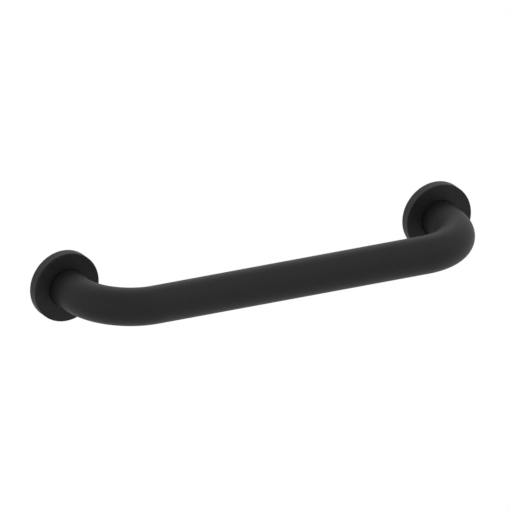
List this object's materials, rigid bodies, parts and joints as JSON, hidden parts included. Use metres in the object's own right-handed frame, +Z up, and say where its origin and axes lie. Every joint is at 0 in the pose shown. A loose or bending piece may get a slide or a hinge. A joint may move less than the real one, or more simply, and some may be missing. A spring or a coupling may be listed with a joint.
{
  "type": "grab bar",
  "caption": "Matte black wall grab bar: a straight round tube bent back to the wall at both ends, with round slip-on covers that hide its screw plates.",
  "frame": {"origin": "on the wall plane, half-way between the axes of the two legs", "axes": "+X along the grip, +Y into the wall, +Z up"},
  "size_m": [0.408, 0.09, 0.06],
  "materials": {
    "bar_coat": "matte black powder coat on stainless steel",
    "cover_coat": "matte black powder coat on drawn stainless sheet"
  },
  "bodies": {
    "bar": {"grip_tube": "bar_coat", "left_mounting_plate": "bar_coat", "right_mounting_plate": "bar_coat"},
    "left_cover": {"left_cover": "cover_coat"},
    "right_cover": {"right_cover": "cover_coat"}
  },
  "joints": [
    {"name": "left_cover_slide", "type": "slide", "parent": "bar", "child": "left_cover", "axis": [0, -1, 0], "range_m": [0, 0.017]},
    {"name": "right_cover_slide", "type": "slide", "parent": "bar", "child": "right_cover", "axis": [0, -1, 0], "range_m": [0, 0.017]}
  ]
}
